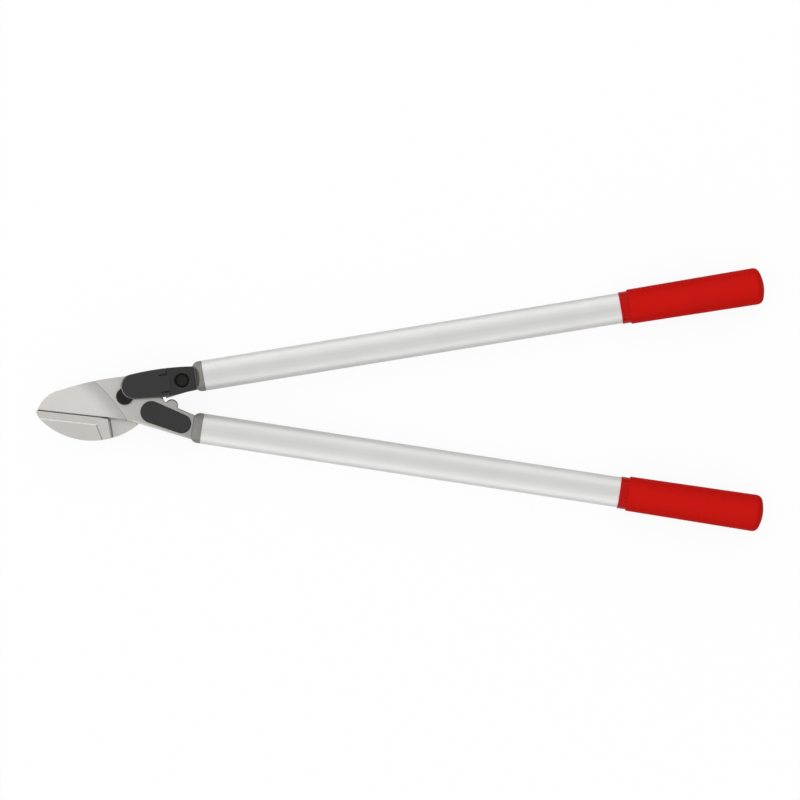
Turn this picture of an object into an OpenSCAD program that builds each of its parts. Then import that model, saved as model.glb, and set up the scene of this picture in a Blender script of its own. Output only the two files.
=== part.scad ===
// Anvil lopper: two levers on one pivot, whose ground blade closes on a flat anvil.
// The tool lies on its back: +X runs to the grips, +Y to the upper handle, +Z out of the front.
// Places are measured from the pivot, and heights from the plane of the two tube axes.

/* [Handles] */
// Upper handle, angle upwards from level
upper_angle = 9.2; // [6:0.1:14]
// Lower handle, angle downwards from level
lower_angle = 8.7; // [6:0.1:14]
// Upper tube axis, distance above the pivot
upper_offset = 9.2; // [7:0.1:12]
// Lower tube axis, distance below the pivot
lower_offset = 23.2; // [21:0.1:26]
// Pivot to the end of the grips
handle_len = 748.3; // [500:0.1:900]
// Outside diameter of the tubes
tube_d = 35; // [32:0.5:40]
// Wall of the tubes
tube_wall = 2; // [1.5:0.1:3]
// Chamfer on the front rim of the tubes
tube_edge = 0.6; // [0.2:0.1:1]
// Length of a lever head's collar in front of its tube
collar_len = 10.8; // [9:0.1:13]
// Depth of the collar's rounded corners
collar_round = 4.4; // [2:0.1:5]
// Length of the collar's rounded corners
collar_nose = 7.5; // [4:0.1:9]
// Bulge of the collar's rounded corners
collar_bow = 1.2; // [0.3:0.1:2]
// Length of the spigot inside the tube
spigot_len = 55; // [30:1:90]
// Bore that lightens the spigot
spigot_bore = 18; // [10:0.5:22]
// Length of the slope that is cut into a collar's face
scoop_len = 5; // [3:0.1:7]
// Flat in front of that slope, past the piece that lies on it
scoop_gap = 1.2; // [0.5:0.1:2]

/* [Grips] */
// Length of a grip
grip_len = 157.8; // [110:0.1:190]
// Wall of the grip at its front end
grip_wall = 1.45; // [1.2:0.05:3]
// Growth of the grip's radius from front to end
grip_flare = 1.25; // [0.5:0.05:3]
// Radius of the domed end
grip_dome_r = 45; // [35:1:60]
// Rounding between the dome and the side
grip_corner = 8; // [4:0.5:10]
// Wall of the hard sleeve under the grip
sleeve_wall = 0.95; // [0.8:0.05:1.5]
// Part of the sleeve that shows in front of the grip
sleeve_show = 10; // [5:0.5:16]
// Grip material behind the end of the tube
grip_end_wall = 7; // [5:0.5:12]

/* [Blade] */
// Thickness of the blade
blade_t = 7; // [5.5:0.1:8]
// Tilt of the cutting edge, down towards the pivot
edge_tilt = 6.3; // [4:0.1:8]
// Distance of the edge line below the pivot
edge_drop = 27.7; // [26:0.1:30]
// Pivot to the blade's tip, along the edge
tip_reach = 98.7; // [90:0.1:110]
// Pivot to the heel of the cutting edge, along the edge
heel_reach = 16.6; // [15:0.1:20]
// Width of the blunt land on the edge
edge_land = 0.4; // [0.2:0.1:1]
// Slope of the narrow bevel along the edge
bevel_angle = 40; // [30:1:50]
// Depth of the hollow-ground faces
grind_depth = 2.6; // [2:0.1:2.7]
// Length over which a hollow-ground face runs out into the flat
grind_run = 38; // [25:1:50]
// Length of the rounded nose
nose_len = 23.7; // [18:0.1:30]
// Height that the nose rises above the edge line
nose_rise = 26.7; // [22:0.1:30]
// Height of the spine over the pivot
spine_h = 23.2; // [21:0.1:25]
// Radius of the stop lobe on the tang
lobe_r = 7.3; // [6:0.1:7.5]
// Chamfer round the stop lobe and along the upper edge of the tang
lobe_edge = 1.1; // [0.3:0.1:1.5]
// Width of the tang at the collar
tang_w = 28.2; // [26:0.1:30]
// Chamfer along the lower edge of the tang
tang_chamfer = 1.9; // [0.5:0.1:2.5]

/* [Anvil] */
// Thickness of the anvil carrier
carrier_t = 9; // [7:0.1:10]
// Depth of the anvil's seat in the carrier
seat_depth = 2.2; // [1.5:0.1:3]
// Gap between the closed edge and the anvil
jaw_gap = 0.3; // [0.2:0.05:1]
// Anvil in front of the cutting edge
anvil_front = 6; // [4:0.1:7]
// Height of the raised pad on the anvil
pad_h = 1.3; // [0.8:0.1:2]
// Width of the lower strip along the anvil's face
strip_w = 7.6; // [5:0.1:10]
// Length that the anvil reaches past the blade's tip
anvil_over = 1.2; // [0.5:0.1:3]
// Depth of the jaw's curved back
jaw_depth = 21; // [19:0.1:23]
// Groove between the anvil and the step of its seat
groove_w = 1.2; // [0.8:0.1:3]
// Chamfer on the step beside the groove
groove_chamfer = 0.5; // [0.3:0.1:1.5]
// Thread of the anvil screws
anvil_screw_d = 5; // [4:0.5:6]

/* [Pivot] */
// Pivot bolt diameter
pivot_d = 14; // [12:0.5:15]
// Wall of the bronze bush
bush_wall = 2; // [1.5:0.1:3]
// Width across the flats of the pivot bolt's head
pivot_af = 22; // [20:0.5:24]
// Height of the pivot bolt's head
pivot_head_h = 8.8; // [6:0.1:10]
// Thickness of the plain washer under the head
pivot_washer_t = 2.5; // [1.5:0.1:3]
// Thickness of the thrust washers beside the blade
thrust_t = 0.5; // [0.4:0.1:1]
// Outside radius of the toothed nut
nut_r = 10; // [9.5:0.1:11]
// Height of the toothed nut
nut_t = 4.5; // [4:0.1:5]
// Teeth on the nut
nut_teeth = 28; // [20:1:36]
// Depth of the teeth
tooth_depth = 0.7; // [0.4:0.1:1]
// Thickness of the nut's smooth rim over its teeth
nut_rim_t = 0.9; // [0.6:0.1:1.5]
// Thickness of the lock segment
segment_t = 1.6; // [1.2:0.1:2]
// Thread of the lock screw
lock_screw_d = 4; // [3:0.5:4.5]

/* [Front arm] */
// Thickness of the black front arm
arm_t = 6; // [5.4:0.1:7]
// Radius of the arm's round nose
arm_nose_r = 14.5; // [13.5:0.1:15]
// Pivot to the arm's rear end, along the handle
arm_len = 83.2; // [75:0.1:100]
// Length of the bolted joint, from the front of the lever head's tongue to the arm's rear end
joint_len = 35.7; // [32:0.1:40]
// Arm's rear end to the front end of the tubes
arm_to_tube = 10.1; // [8:0.1:14]
// Arm's rear end to the rear end of the cover
cover_back = 31; // [28:0.1:34]
// Wall of the cover's skirt
cover_wall = 1.6; // [1.2:0.1:2]
// Thickness of the cover's top
cover_top = 1.6; // [1.2:0.1:2]
// Chamfer round the cover's top
cover_chamfer = 1.2; // [0.5:0.1:1.5]
// Width of the slots beside the cover's clip tab
tab_slot_w = 1.8; // [1:0.1:3]
// Length of the slots beside the cover's clip tab
tab_slot_len = 8.5; // [5:0.1:12]
// Radius of the dished recess round the lever bolt
dish_r = 9.7; // [9:0.1:10.5]
// Depth of the dished recess
dish_depth = 3.2; // [2:0.1:4]
// Width of the dish's sloping wall
dish_draft = 3.2; // [1:0.1:4]
// Lever bolt diameter
lever_bolt_d = 10; // [8:0.5:12]
// Dowel diameter
dowel_d = 6; // [4:0.5:7]

/* [Tang fixing] */
// Radius of the tang cover's large end
inlay_big_r = 12.7; // [12:0.1:13]
// Radius of the tang cover's small end
inlay_small_r = 11; // [10:0.1:11.5]
// Thickness of the tang cover
inlay_t = 2; // [1.5:0.1:2.5]
// Tang bolt diameter
tang_bolt_d = 8; // [6:0.5:9]
// Distance between the two tang bolts
tang_bolt_pitch = 17; // [16:0.5:20]

/* [Fits] */
// Clearance between pieces that are pressed, glued or bolted together
seat_fit = 0.05; // [0.02:0.01:0.1]
// Radial clearance of the pivot bolt in its bush
run_fit = 0.05; // [0.02:0.01:0.1]
// Gap between the blade and what slides past it
slide_gap = 0.3; // [0.2:0.05:0.5]
// Visible gap round a cover
cover_gap = 0.15; // [0.1:0.05:0.3]

/* [Hidden] */
$fn = 72;
arc_steps = 16;
grind_steps = 8;
over = 1;
reach = 200;

// Radii of the nested handle pieces
tube_r = tube_d/2;
spigot_r = tube_r - tube_wall - seat_fit;
sleeve_in_r = tube_r + seat_fit;
sleeve_r = sleeve_in_r + sleeve_wall;
grip_in_r = sleeve_r + seat_fit;
grip_front_r = grip_in_r + grip_wall;
grip_end_r = grip_front_r + grip_flare;
grip_edge = 0.6;

// Stations along a handle, from the pivot
tube_front = arm_len + arm_to_tube;
collar_front = tube_front - collar_len;
tongue_front = arm_len - joint_len;
cover_len = arm_len - cover_back;
tube_end = handle_len - grip_end_wall;
grip_start = handle_len - grip_len;
sleeve_start = grip_start - sleeve_show;
dome_s = handle_len - grip_dome_r;
corner_r0 = grip_end_r - grip_corner;
corner_s = dome_s + sqrt(pow(grip_dome_r - grip_corner, 2) - pow(corner_r0, 2));
corner_turn = atan2(corner_s - dome_s, corner_r0);

// Heights of the layers, from back to front
rear_z0 = -carrier_t/2;
rear_z1 = carrier_t/2;
blade_z0 = rear_z1 + thrust_t + slide_gap;
blade_z1 = blade_z0 + blade_t;
edge_z = (blade_z0 + blade_z1)/2;
arm_z0 = blade_z1 + slide_gap;
arm_z1 = arm_z0 + arm_t;
seat_z = rear_z1 - seat_depth;
strip_z = edge_z + anvil_front;
pad_z = strip_z + pad_h;
nut_z0 = blade_z1 + slide_gap + thrust_t;
nut_z1 = nut_z0 + nut_t;
segment_z1 = nut_z1 - nut_rim_t - seat_fit;
ledge_z = segment_z1 - segment_t;
bolt_top_z = nut_z1 - 1.5*nut_rim_t;
cover_in_z = nut_z1 + 2*cover_gap;
cover_z1 = cover_in_z + cover_top;
inlay_z0 = blade_z1 - cover_gap - inlay_t;

// A point beside the cutting edge, u along the edge and v square to it
function edge_xy(u, v) = [u*cos(edge_tilt) + v*sin(edge_tilt), v*cos(edge_tilt) - u*sin(edge_tilt)];

// A point beside a handle, s along its axis and y to its left
function upper_xy(s, y) = let(w = upper_offset + y)
    [s*cos(upper_angle) - w*sin(upper_angle), s*sin(upper_angle) + w*cos(upper_angle)];
function lower_xy(s, y) = let(w = y - lower_offset)
    [s*cos(lower_angle) + w*sin(lower_angle), w*cos(lower_angle) - s*sin(lower_angle)];

function ray(a) = [cos(a), sin(a)];

// The arc from p to q, whose middle stands out by rise to the right of the way: radius, centre and points
function bow_r(p, q, rise) = (pow(norm(q - p)/2, 2) + rise*rise)/(2*abs(rise));
function bow_c(p, q, rise) =
    (p + q)/2 + [q.y - p.y, p.x - q.x]/norm(q - p)*(rise - sign(rise)*bow_r(p, q, rise));
function bow(p, q, rise) =
    let(c = bow_c(p, q, rise), r = bow_r(p, q, rise), a0 = atan2(p.y - c.y, p.x - c.x))
    let(sweep = 2*sign(rise)*asin(norm(q - p)/2/r))
    [for (i = [1:arc_steps]) c + r*ray(a0 + sweep*i/arc_steps)];

// Outline round two circles and their outer tangents
function slot_outline(c1, r1, c2, r2) =
    let(d = c2 - c1, a = atan2(d.y, d.x), b = acos((r1 - r2)/norm(d)))
    concat(
        [for (i = [0:arc_steps]) c2 + r2*ray(a - b + 2*b*i/arc_steps)],
        [for (i = [0:arc_steps]) c1 + r1*ray(a + b + (360 - 2*b)*i/arc_steps)]);

// Toothed ring of the nut, grown evenly for its mate
function tooth_ring(grow) =
    let(pitch = 360/nut_teeth, root = nut_r - tooth_depth, turn = grow/nut_r*180/PI)
    [for (i = [0:nut_teeth - 1], k = [[0, root], [0.25, nut_r], [0.5, nut_r], [0.75, root]])
        (k[1] + grow)*ray(pitch*(i + k[0]) + (k[0] < 0.4 ? -turn : turn))];

// Blade outline and the line where its ground faces begin
blade_tip = edge_xy(-tip_reach, -edge_drop);
nose_end = edge_xy(nose_len - tip_reach, nose_rise - edge_drop);
nose_bow = 5;
spine_end = [0, spine_h];
spine_bow = 2.1;
tang_heel_u = 11;
tang_heel = edge_xy(tang_heel_u, -edge_drop);
tang_low = lower_xy(collar_front - seat_fit, -tang_w/2);
tang_high = lower_xy(collar_front - seat_fit, tang_w/2);
lobe_past = 6.5;
lobe_drop = 10.6;
lobe_c = [tongue_front + lobe_past, -lobe_drop];
lobe_foot = lobe_c + [6.3, -2.6];
lobe_dip = lobe_c + [-8, 4.8];
lobe_end = lobe_foot + (over + lobe_edge)*(tang_high - lobe_foot)/norm(tang_high - lobe_foot);
hub_back = 5.8;
hub_foot = [tongue_front - hub_back, -1];
hub_bow = 12.5;
blade_outline = concat(
    [tang_heel, tang_low, tang_high, lobe_foot, lobe_c, lobe_dip, hub_foot],
    bow(hub_foot, spine_end, hub_bow),
    bow(spine_end, nose_end, spine_bow),
    bow(nose_end, blade_tip, nose_bow));
grind_top = [-35.7, 17.8];
grind_heel_u = 6;
grind_heel = edge_xy(grind_heel_u, -edge_drop);
grind_bow = -2.8;
grind_c = bow_c(grind_top, grind_heel, grind_bow);
grind_r = bow_r(grind_top, grind_heel, grind_bow);
bevel_end = heel_reach - groove_w;

// Tang cover, and the bolts that it hides
inlay_rim = 1.9;
inlay_big = [30.7, -18];
inlay_y = 1.9;
inlay_small = lower_xy(collar_front - inlay_rim - inlay_small_r, inlay_y);
inlay_way = (inlay_small - inlay_big)/norm(inlay_small - inlay_big);
tang_bolt_in = 3.5;
tang_bolt_far = inlay_small - tang_bolt_in*inlay_way;
tang_bolt_near = tang_bolt_far - tang_bolt_pitch*inlay_way;
tang_bolt_places = [tang_bolt_near, tang_bolt_far];
tang_head_r = 0.9*tang_bolt_d;
tang_nut_af = 1.6*tang_bolt_d;
tang_nut_h = 0.8*tang_bolt_d;
tongue_tip_r = 10.5;
tongue_inset = 0.8;

// Jaw outline, shared by the carrier and the anvil
land_v = -edge_drop - jaw_gap;
jaw_reach = tip_reach + anvil_over;
jaw_tip = edge_xy(-jaw_reach, land_v);
chin_in = 7.5;
chin_drop = 10.2;
chin_bow = 1;
jaw_chin = edge_xy(chin_in - jaw_reach, land_v - chin_drop);
jaw_heel_u = 18.5;
jaw_heel_drop = 2.6;
jaw_heel = edge_xy(jaw_heel_u, land_v - jaw_heel_drop);
jaw_back = concat([jaw_tip], bow(jaw_tip, jaw_chin, chin_bow), bow(jaw_chin, jaw_heel, jaw_depth));
jaw_outline = concat(jaw_back, [edge_xy(jaw_heel_u, land_v)]);
end_rake = 16;
pad_rake = 28;
pad_end = 28.5;
anvil_screw_tip_in = 28;
anvil_screw_heel_in = 16.4;
anvil_screw_drop = 10.5;
anvil_screw_places = [
    edge_xy(anvil_screw_tip_in - jaw_reach, land_v - anvil_screw_drop),
    edge_xy(-heel_reach - anvil_screw_heel_in, land_v - anvil_screw_drop)];
anvil_screw_grip = 6;
anvil_screw_len = carrier_t - seat_depth + anvil_screw_grip;

// Front arm outline, drawn in by d all round
arm_nose = [10.2, 11.2];
arm_crown = 2.1;
arm_high = 12.4;
arm_low = 15;
knee_back = 4.3;
knee_s = tongue_front - knee_back;
knee_y = 17.4;
nose_from = 106;
nose_to = 270;
function arm_outline(d) =
    let(top = upper_xy(arm_len, arm_high - d), r = arm_nose_r - d)
    concat(
        [upper_xy(knee_s, d - knee_y), upper_xy(arm_len, d - arm_low), top],
        bow(top, arm_nose + r*ray(nose_from), arm_crown),
        [for (i = [1:arc_steps]) arm_nose + r*ray(nose_from + (nose_to - nose_from)*i/arc_steps)]);

// Snap lug on the cover's lower edge, beside the knee: a triangle whose base lies inside the skirt
lug_len = 3.4;
lug_tip = -1.2;
lug_drop = 3.1;
lug_root = cover_wall/2;
knee = upper_xy(knee_s, -knee_y);
nose_low = arm_nose + arm_nose_r*ray(nose_to);
lug_way = (nose_low - knee)/norm(nose_low - knee);
lug_out = [-lug_way.y, lug_way.x];
lug_outline = [
    knee + lug_root*(lug_way - lug_out),
    knee + lug_tip*lug_way + lug_drop*lug_out,
    knee + lug_len*lug_way - lug_root*lug_out];

// Carrier outline: jaw, hub and tail
hub_r = 20;
hub_from = 80;
hub_to = 190;
throat_u = -24;
throat_bow = -2.5;
heel_top = [26, -7];
heel_bow = -2;
tail_inset = 1;
tail_s = collar_front - seat_fit;
shoulder_back = 7.5;
shoulder_s = tongue_front - shoulder_back;
carrier_outline = concat(
    jaw_back,
    bow(jaw_heel, heel_top, heel_bow),
    [upper_xy(knee_s, tail_inset - knee_y), upper_xy(tail_s, tail_inset - arm_low)],
    [upper_xy(tail_s, arm_high - tail_inset), upper_xy(shoulder_s, arm_high + tail_inset)],
    [for (i = [0:arc_steps]) hub_r*ray(hub_from + (hub_to - hub_from)*i/arc_steps)],
    bow(hub_r*ray(hub_to), edge_xy(throat_u, land_v), throat_bow));

// Tongue of the upper lever head, which fills the blade's layer behind the arm
strike_y = -2.2;
upper_tongue = [
    [tongue_front, strike_y],
    upper_xy(collar_front + over, tail_inset - arm_low),
    upper_xy(collar_front + over, arm_high - tail_inset),
    upper_xy(tongue_front, arm_high + tail_inset)];
joint_y = -1.5;
lever_bolt_in = 14.9;
lever_bolt_at = upper_xy(arm_len - lever_bolt_in, joint_y);
dowel_edge = 8;
dowel_at = upper_xy(tongue_front + dowel_edge, joint_y);
lever_head_r = dish_r - dish_draft - 2*slide_gap;
lever_head_h = 2.2;
lever_nut_af = 1.6*lever_bolt_d;
lever_nut_h = 0.8*lever_bolt_d;
dowel_in = 1.2;

// Lock segment, which meshes with the nut on the side of the arm's nose
segment_way = atan2(arm_nose.y, arm_nose.x);
segment_half = 31;
segment_w = 10.5;
lock_screw_in = 6;
lock_screw_at = (nut_r + lock_screw_in)*ray(segment_way);
lock_head_r = 0.85*lock_screw_d;
segment_outline = concat(
    [for (i = [-4:4]) (nut_r + segment_w)*ray(segment_way + segment_half*i/4)],
    [for (i = [4:-1:-4]) (nut_r - 2*tooth_depth)*ray(segment_way + segment_half*i/4)]);

// The tool's box is centred on the origin and stands on it
box_x0 = jaw_tip.x;
box_x1 = grip_dome_r + max(upper_xy(dome_s, 0).x, lower_xy(dome_s, 0).x);
box_y0 = lower_xy(corner_s, -corner_r0).y - grip_corner;
box_y1 = upper_xy(corner_s, corner_r0).y + grip_corner;
pivot_at = [-(box_x0 + box_x1)/2, -(box_y0 + box_y1)/2, grip_end_r];

module in_place() {
    translate(pivot_at) children();
}

module upper_handle() {
    in_place() rotate([0, 0, upper_angle]) translate([0, upper_offset, 0]) children();
}

module lower_handle() {
    in_place() rotate([0, 0, -lower_angle]) translate([0, -lower_offset, 0]) children();
}

// A body turned about a handle's axis, from points of radius and station
module turned(points) {
    rotate([0, 90, 0]) rotate_extrude() polygon(points);
}

module plate(points, z0, z1) {
    translate([0, 0, z0]) linear_extrude(z1 - z0) polygon(points);
}

module bar(at, r, z0, z1) {
    translate([at.x, at.y, z0]) cylinder(r = r, h = z1 - z0);
}

// Hexagon of a given width across its flats
module hexagon(at, af, z0, z1) {
    translate([at.x, at.y, z0]) cylinder(d = af/cos(30), h = z1 - z0, $fn = 6);
}

// A countersunk hole or screw: shank, then a cone that ends flush at z_face
module countersunk(at, r, head_r, z_end, z_face) {
    up = sign(z_face - z_end);
    cone = head_r - r;
    bar(at, r, min(z_end, z_face), max(z_end, z_face));
    translate([at.x, at.y, z_face - (up > 0 ? cone : 0)])
        cylinder(r1 = up > 0 ? r : head_r, r2 = up > 0 ? head_r : r, h = cone);
}

// Cutter for a chamfer on the right-hand edge of the way from p to just past q, below the height z
module chamfer(p, q, z, size) {
    way = q - p;
    translate([p.x, p.y, z]) rotate([0, 0, atan2(way.y, way.x)]) rotate([90, 0, 90])
        linear_extrude(norm(way) + over)
            polygon([[size + over, over], [-over, over], [-over, -size - over]]);
}

// The part of a plate in front of or behind a station on the upper handle
module upper_stretch(s0, s1, z0, z1) {
    rotate([0, 0, upper_angle]) translate([s0, -reach, z0]) cube([s1 - s0, 2*reach, z1 - z0]);
}

// Cutter for one hollow-ground face and the edge bevel on it, drawn for the front of a plate at z = 0
module grind() {
    translate([grind_c.x, grind_c.y, 0]) rotate_extrude() polygon(concat(
        [[0, over], [0, -grind_depth], [grind_r - grind_run, -grind_depth]],
        [for (i = [1:grind_steps]) let(k = 1 - i/grind_steps)
            [grind_r - grind_run*k, -grind_depth*(1 - pow(1 - k, 2))]],
        [[grind_r + over, 2*over*grind_depth/grind_run], [grind_r + over, over]]));
    rise = blade_t/2 + over;
    rotate([0, 0, -edge_tilt]) translate([-reach, -edge_drop, -blade_t/2 + edge_land/2])
        rotate([90, 0, 90]) linear_extrude(reach - bevel_end)
            polygon([[0, 0], [rise/tan(bevel_angle), rise], [-over, rise], [-over, 0]]);
}

// Collar and spigot of a lever head, with corners rounded in plan and slopes to the flats in front and behind
module collar_and_spigot(flat_z, scoop_s) {
    back_len = 0.8*collar_len;
    corner_from = [collar_front, tube_r - collar_round];
    corner_to = [collar_front + collar_nose, tube_r + seat_fit];
    difference() {
        turned([
            [0, collar_front], [tube_r, collar_front],
            [tube_r, tube_front - seat_fit], [spigot_r, tube_front - seat_fit],
            [spigot_r, tube_front + spigot_len], [0, tube_front + spigot_len]]);
        turned([
            [0, tube_front + spigot_bore/2], [spigot_bore/2, tube_front + spigot_bore/2],
            [spigot_bore/2, tube_front + spigot_len + over], [0, tube_front + spigot_len + over]]);
        for (side = [0, 1]) {
            mirror([0, side, 0]) linear_extrude(2*reach, center = true) polygon(concat(
                [corner_from],
                bow(corner_from, corner_to, -collar_bow),
                [[corner_to.x, tube_r + over], [collar_front - over, tube_r + over]],
                [[collar_front - over, tube_r - collar_round]]));
        }
        rotate([90, 0, 0]) linear_extrude(2*reach, center = true) polygon([
            [collar_front - over, flat_z], [scoop_s, flat_z], [scoop_s + scoop_len, tube_r],
            [scoop_s + scoop_len, tube_r + over], [collar_front - over, tube_r + over]]);
        rotate([90, 0, 0]) linear_extrude(2*reach, center = true) polygon([
            [collar_front - over, rear_z0], [collar_front, rear_z0], [collar_front + back_len, -tube_r],
            [collar_front + back_len, -tube_r - over], [collar_front - over, -tube_r - over]]);
    }
}

module handle_tube() {
    turned([
        [tube_r - tube_wall, tube_front], [tube_r - tube_edge, tube_front], [tube_r, tube_front + tube_edge],
        [tube_r, tube_end], [tube_r - tube_wall, tube_end]]);
}

module handle_sleeve() {
    turned([
        [sleeve_in_r, sleeve_start], [sleeve_r - sleeve_wall/3, sleeve_start],
        [sleeve_r, sleeve_start + sleeve_wall/3], [sleeve_r, tube_end], [sleeve_in_r, tube_end]]);
}

module handle_grip() {
    corner = [for (i = [0:arc_steps]) let(a = corner_turn*i/arc_steps)
        [corner_r0 + grip_corner*cos(a), corner_s + grip_corner*sin(a)]];
    dome = [for (i = [1:arc_steps]) let(a = corner_turn + (90 - corner_turn)*i/arc_steps)
        [grip_dome_r*cos(a), dome_s + grip_dome_r*sin(a)]];
    turned(concat(
        [[0, tube_end + seat_fit], [grip_in_r, tube_end + seat_fit], [grip_in_r, grip_start]],
        [[grip_front_r - grip_edge, grip_start], [grip_front_r, grip_start + grip_edge]],
        corner, dome));
}

// Blade lever
module cutting_blade() {
    color("silver") in_place() difference() {
        union() {
            plate(blade_outline, blade_z0, blade_z1);
            bar(lobe_c, lobe_r, blade_z0, blade_z1 - lobe_edge);
            translate([lobe_c.x, lobe_c.y, blade_z1 - lobe_edge])
                cylinder(r1 = lobe_r, r2 = lobe_r - lobe_edge, h = lobe_edge);
        }
        translate([0, 0, blade_z1]) grind();
        translate([0, 0, blade_z0]) mirror([0, 0, 1]) grind();
        bar([0, 0], pivot_d/2 + run_fit + bush_wall + seat_fit, blade_z0 - over, blade_z1 + over);
        plate(slot_outline(inlay_big, inlay_big_r, inlay_small, inlay_small_r), inlay_z0, blade_z1 + over);
        for (at = tang_bolt_places) {
            countersunk(at, tang_bolt_d/2 + seat_fit, tang_head_r + seat_fit, blade_z0 - over, inlay_z0);
        }
        chamfer(tang_heel, tang_low, blade_z1, tang_chamfer);
        chamfer(tang_high + over*ray(-lower_angle), lobe_end, blade_z1, lobe_edge);
    }
}

module pivot_bush() {
    color("darkgoldenrod") in_place() difference() {
        bar([0, 0], pivot_d/2 + run_fit + bush_wall, blade_z0, blade_z1);
        bar([0, 0], pivot_d/2 + run_fit, blade_z0 - over, blade_z1 + over);
    }
}

module lower_lever_head() {
    color("dimgray") difference() {
        union() {
            lower_handle() collar_and_spigot(blade_z1, collar_front + scoop_gap);
            in_place() plate(
                slot_outline(
                    lower_xy(collar_front + over, 0), tang_w/2 - tongue_inset, tang_bolt_near, tongue_tip_r),
                rear_z0, blade_z0);
        }
        in_place() for (at = tang_bolt_places) {
            bar(at, tang_bolt_d/2 + seat_fit, rear_z0 - over, blade_z0 + over);
        }
    }
}

module tang_bolts() {
    color("gray") in_place() for (at = tang_bolt_places) {
        countersunk(at, tang_bolt_d/2, tang_head_r, rear_z0 - tang_nut_h - over, inlay_z0);
    }
}

module tang_nuts() {
    color("gray") in_place() for (at = tang_bolt_places) {
        difference() {
            hexagon(at, tang_nut_af, rear_z0 - tang_nut_h, rear_z0);
            bar(at, tang_bolt_d/2 + seat_fit, rear_z0 - tang_nut_h - over, rear_z0 + over);
        }
    }
}

module tang_cover() {
    color("#3a3a38") in_place() plate(
        slot_outline(inlay_big, inlay_big_r - cover_gap, inlay_small, inlay_small_r - cover_gap),
        inlay_z0, inlay_z0 + inlay_t);
}

module lower_tube() {
    color("lightgray") lower_handle() handle_tube();
}

module lower_grip_sleeve() {
    color("crimson") lower_handle() handle_sleeve();
}

module lower_grip() {
    color("firebrick") lower_handle() handle_grip();
}

// Anvil lever
module anvil_carrier() {
    seat_top = land_v + over;
    function step_xy(v) = edge_xy(groove_w - heel_reach + (land_v - v)*tan(end_rake), v);
    color("darkgray") in_place() difference() {
        plate(carrier_outline, rear_z0, rear_z1);
        plate([edge_xy(-reach, seat_top), edge_xy(-reach, -reach), step_xy(-reach), step_xy(seat_top)],
            seat_z, rear_z1 + over);
        chamfer(step_xy(-reach), step_xy(land_v), rear_z1, groove_chamfer);
        bar([0, 0], pivot_d/2 + seat_fit, rear_z0 - over, rear_z1 + over);
        bar(lever_bolt_at, lever_bolt_d/2 + seat_fit, rear_z0 - over, rear_z1 + over);
        bar(dowel_at, dowel_d/2 + seat_fit, rear_z0 - over, rear_z1 + over);
        for (at = anvil_screw_places) {
            countersunk(at, anvil_screw_d/2 + seat_fit, anvil_screw_d + seat_fit, rear_z1 + over, rear_z0);
        }
    }
}

module anvil() {
    function end_xy(v) = edge_xy(-heel_reach + (land_v - v)*tan(end_rake), v);
    pad_v = land_v - strip_w;
    function pad_xy(v) = edge_xy(-pad_end + (pad_v - v)*tan(pad_rake), v);
    color("lightsteelblue") in_place() difference() {
        union() {
            intersection() {
                plate(jaw_outline, seat_z, strip_z);
                plate([edge_xy(-reach, land_v), edge_xy(-reach, -reach), end_xy(-reach), end_xy(land_v)],
                    seat_z - over, strip_z + over);
            }
            difference() {
                intersection() {
                    plate(jaw_outline, seat_z, pad_z);
                    plate([edge_xy(-reach, pad_v), edge_xy(-reach, -reach), pad_xy(-reach), pad_xy(pad_v)],
                        strip_z - over, pad_z + over);
                }
                chamfer(edge_xy(-pad_end, pad_v), edge_xy(-reach, pad_v), pad_z, pad_h);
                chamfer(pad_xy(-reach), pad_xy(pad_v), pad_z, pad_h);
            }
        }
        for (at = anvil_screw_places) {
            bar(at, anvil_screw_d/2 + seat_fit, seat_z - over, rear_z0 + anvil_screw_len + over);
        }
    }
}

module anvil_screws() {
    color("gray") in_place() for (at = anvil_screw_places) {
        countersunk(at, anvil_screw_d/2, anvil_screw_d, rear_z0 + anvil_screw_len, rear_z0);
    }
}

module pivot_bolt() {
    head_z = rear_z0 - pivot_washer_t;
    color("dimgray") in_place() {
        hexagon([0, 0], pivot_af, head_z - pivot_head_h, head_z);
        bar([0, 0], pivot_d/2, head_z - over, bolt_top_z);
    }
}

module pivot_washer() {
    color("silver") in_place() difference() {
        bar([0, 0], 0.6*pivot_af, rear_z0 - pivot_washer_t, rear_z0);
        bar([0, 0], pivot_d/2 + seat_fit, rear_z0 - pivot_washer_t - over, rear_z0 + over);
    }
}

module thrust_washers() {
    color("goldenrod") in_place() for (z = [rear_z1, nut_z0 - thrust_t]) {
        difference() {
            bar([0, 0], nut_r - 2*tooth_depth, z, z + thrust_t);
            bar([0, 0], pivot_d/2 + seat_fit, z - over, z + thrust_t + over);
        }
    }
}

module pivot_nut() {
    color("#282622") in_place() difference() {
        union() {
            plate(tooth_ring(0), nut_z0, nut_z1 - nut_rim_t);
            bar([0, 0], nut_r - tooth_depth/2, nut_z1 - nut_rim_t, nut_z1);
        }
        bar([0, 0], pivot_d/2 + seat_fit, nut_z0 - over, bolt_top_z + seat_fit);
    }
}

module lock_segment() {
    color("gray") in_place() difference() {
        plate(segment_outline, ledge_z, segment_z1);
        plate(tooth_ring(2*seat_fit), ledge_z - over, segment_z1 + over);
        countersunk(
            lock_screw_at, lock_screw_d/2 + seat_fit, lock_head_r + seat_fit, ledge_z - over, segment_z1);
    }
}

module lock_screw() {
    color("dimgray") in_place() countersunk(
        lock_screw_at, lock_screw_d/2, lock_head_r, arm_z0 + slide_gap, segment_z1);
}

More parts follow.
